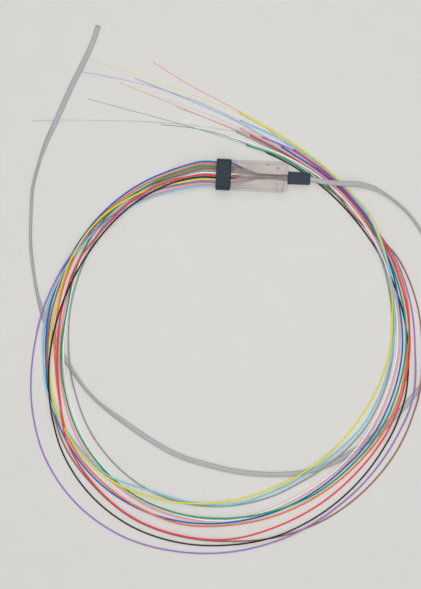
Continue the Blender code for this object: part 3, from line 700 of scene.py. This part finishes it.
BOOT_WIDTH = 7.5 * MM
BOOT_HEIGHT = 3.9 * MM
CABLE_HOLE_CLEARANCE = 0.08 * MM
CABLE_HOLE_DEPTH = 2.6 * MM
BOOT_CORNER_STEPS = 7
BOOT_SECTIONS = (  # place along the boot, how far its sides stand out, corner radius
    (0.0, -0.25, 0.9), (0.15, -0.08, 0.9), (0.35, 0.0, 0.9), (1.1, 0.0, 0.9), (1.35, -0.12, 0.9),
    (1.6, -0.18, 0.9), (6.0, -0.18, 0.9), (12.0, -0.3, 0.9), (12.45, -0.42, 0.85), (12.7, -0.62, 0.8),
    (12.8, -0.85, 0.7),
)


def rounded_ring(mesh, x, half_width, half_height_here, radius):
    """A ring of vertices on a rounded oblong that stands across the cable's way."""
    ring = []
    for side, top, start in ((1, 1, 0), (-1, 1, 90), (-1, -1, 180), (1, -1, 270)):
        for k in range(BOOT_CORNER_STEPS + 1):
            turn = math.radians(start + 90 * k / BOOT_CORNER_STEPS)
            y = side * (half_width - radius) + radius * math.cos(turn)
            z = top * (half_height_here - radius) + radius * math.sin(turn)
            ring.append(mesh.verts.new((x, y, MID_HEIGHT + z)))
    return ring


sleeve = bmesh.new()
boot_start = BODY_END_X + JOINT_GAP
stretch = (BOOT_END_X - boot_start) / (BOOT_SECTIONS[-1][0] * MM)
boot_rings = []
for x, inset, radius in BOOT_SECTIONS:
    boot_rings.append(rounded_ring(sleeve, boot_start + x * MM * stretch, BOOT_WIDTH / 2 + inset * MM,
                                   BOOT_HEIGHT / 2 + inset * MM, radius * MM))
hole = (CABLE_WIDTH / 2 + CABLE_HOLE_CLEARANCE, CABLE_THICKNESS / 2 + CABLE_HOLE_CLEARANCE,
        CABLE_THICKNESS / 2 + CABLE_HOLE_CLEARANCE - FLOOR_LIFT)
boot_rings.append(rounded_ring(sleeve, BOOT_END_X, *hole))
boot_rings.append(rounded_ring(sleeve, BOOT_END_X - CABLE_HOLE_DEPTH, *hole))
boot = closed_skin("boot", sleeve, boot_rings)
boot.data.materials.append(
    plastic("charcoal_rubber", (0.035, 0.047, 0.064), 0.58, shade=0.08, grain=1800.0, bump=0.25, gloss=0.35))
make_plain(boot)
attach(boot, "root")
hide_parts("cable_boot")

# Cut end of the cable
# What shows inside the jacket's cut end: the twelve coated fibres in two rows, and around them the cut tips
# of the white yarn that takes the pull.

CORE_FIBRE_PITCH = 0.27 * MM
CORE_COLUMNS = 6
CORE_TIPS = (0.85, 0.92, 0.99)  # shares of the bored length that the fibres reach, in turn
YARN_TIPS = 44
YARN_RADIUS = 0.06 * MM
YARN_RING = (0.84 * MM, 0.41 * MM)  # half of the oval that they fill, across and up
YARN_SIDES = 6
SHORTEST_YARN = 0.55  # as a share of the longest
YARN_SEED = 5


def yarn_tree(name):
    """Geometry Nodes that stand cut strands around an oval, each of its own length."""
    tree, given = started(name, Strands="Int", Oval="Vector", Radius="Float", Length="Float", Seed="Int",
                          Finish="Material")
    ring = tree.nodes.new("GeometryNodeMeshCircle")
    tree.links.new(given.outputs["Strands"], ring.inputs["Vertices"])
    oval = tree.nodes.new("GeometryNodeTransform")
    tree.links.new(ring.outputs["Mesh"], oval.inputs["Geometry"])
    tree.links.new(given.outputs["Oval"], oval.inputs["Scale"])
    strand = tree.nodes.new("GeometryNodeMeshCylinder")
    strand.inputs["Vertices"].default_value = YARN_SIDES
    tree.links.new(given.outputs["Radius"], strand.inputs["Radius"])
    tree.links.new(given.outputs["Length"], strand.inputs["Depth"])
    chance = tree.nodes.new("FunctionNodeRandomValue")
    chance.data_type = "FLOAT_VECTOR"
    chance.inputs["Min"].default_value = (1.0, 1.0, SHORTEST_YARN)
    chance.inputs["Max"].default_value = (1.0, 1.0, 1.0)
    tree.links.new(given.outputs["Seed"], chance.inputs["Seed"])
    copies = tree.nodes.new("GeometryNodeInstanceOnPoints")
    tree.links.new(oval.outputs["Geometry"], copies.inputs["Points"])
    tree.links.new(strand.outputs["Mesh"], copies.inputs["Instance"])
    tree.links.new(chance.outputs["Value"], copies.inputs["Scale"])
    return ended(tree, given, copies.outputs["Instances"])


onward = cable_path[-1] - cable_path[-2]
onward /= np.linalg.norm(onward)
across = np.cross(onward, (0.0, 0.0, 1.0))
across /= np.linalg.norm(across)
upward = np.cross(across, onward)
core = []
for k, colour in enumerate(LEG_COLOURS):
    start = cable_path[-1] - onward * CABLE_HOLLOW
    start += across * (k % CORE_COLUMNS - (CORE_COLUMNS - 1) / 2) * CORE_FIBRE_PITCH
    start += upward * (k // CORE_COLUMNS - 0.5) * CORE_FIBRE_PITCH
    tip = start + onward * CABLE_HOLLOW * CORE_TIPS[k % len(CORE_TIPS)]
    strand = sweep("core_fibre_" + colour, [start, (start + tip) / 2, tip], circle(FIBRE_RADIUS, FIBRE_SIDES))
    # These take the inner fibres' lacquer, whose colour is darkened as painted shade.
    strand.data.materials.append(bpy.data.materials["inner_" + colour + "_lacquer"])
    core.append(strand)
yarn_mesh = bpy.data.meshes.new("core_yarn")
yarn = placed("core_yarn", yarn_mesh)
add_nodes(yarn, yarn_tree("yarn_tips"), {
    "Strands": YARN_TIPS, "Oval": (*YARN_RING, 1.0), "Radius": YARN_RADIUS, "Length": 2 * CABLE_HOLLOW,
    "Seed": YARN_SEED, "Finish": plastic("white_yarn", (0.72, 0.69, 0.58), 0.8, shade=0.1, grain=4000.0)})
make_plain(yarn)
lean = Matrix([[*row, 0.0] for row in np.column_stack([across, upward, -onward])] + [[0.0, 0.0, 0.0, 1.0]])
yarn.data.transform(Matrix.Translation(cable_path[-1] - onward * CABLE_HOLLOW) @ lean)
core.append(yarn)
for piece in core:
    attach(piece, "root")

# Camera, table and light
# The photo was taken from straight above, a little turned. The table is a plain pale sheet, lit softly by
# three square lamps and an even sky.

PHOTO_TURN = math.radians(2.9)
PHOTO_WIDTH = 341.6 * MM  # what the picture takes in on the table, from side to side
LENS = 100.0
SENSOR = 36.0
TABLE_HALF = 3.0
TABLE_DROP = 0.1 * MM  # below the piece's feet
camera_data = bpy.data.cameras.new("camera")
camera_data.lens = LENS
camera_data.sensor_width = SENSOR
camera_data.clip_start = 0.01
camera_data.clip_end = 20.0
camera = bpy.data.objects.new("camera", camera_data)
camera.location = (-27.0 * MM, -69.6 * MM, PHOTO_WIDTH * LENS / SENSOR)
camera.rotation_euler = (0.0, 0.0, PHOTO_TURN)
bpy.context.scene.collection.objects.link(camera)
bpy.context.scene.camera = camera

floor_mesh = bmesh.new()
bmesh.ops.create_grid(floor_mesh, x_segments=1, y_segments=1, size=TABLE_HALF)
floor_data = bpy.data.meshes.new("table")
floor_mesh.to_mesh(floor_data)
floor_mesh.free()
floor = placed("table", floor_data)
floor.location = (0.0, 0.0, -TABLE_DROP)
floor.data.materials.append(
    plastic("pale_table", (0.66, 0.648, 0.622), 0.8, shade=0.01, grain=300.0, bump=0.02))


def softbox(name, spot, aim, size, power, mirrored=True):
    """A square area light. The one straight above isn't mirrored in the flat tops."""
    data = bpy.data.lights.new(name, "AREA")
    data.shape = "SQUARE"
    data.size = size
    data.energy = power
    lamp = bpy.data.objects.new(name, data)
    lamp.location = spot
    lamp.rotation_euler = (Vector(aim) - Vector(spot)).to_track_quat("-Z", "Y").to_euler()
    lamp.visible_glossy = mirrored
    bpy.context.scene.collection.objects.link(lamp)


softbox("top_box", (-0.03, -0.07, 1.2), (-0.03, -0.07, 0.0), 0.4, 9.0, mirrored=False)
softbox("north_box", (0.0, 0.7, 1.1), (0.0, -0.07, 0.0), 0.9, 3.6)
softbox("south_box", (0.15, -0.9, 1.1), (0.0, -0.07, 0.0), 1.1, 3.0)
sky = bpy.data.worlds.new("sky")
sky.use_nodes = True
sky.node_tree.nodes["Background"].inputs["Color"].default_value = (0.95, 0.96, 1.0, 1.0)
sky.node_tree.nodes["Background"].inputs["Strength"].default_value = 0.22
bpy.context.scene.world = sky
bpy.context.scene.view_settings.view_transform = "Standard"
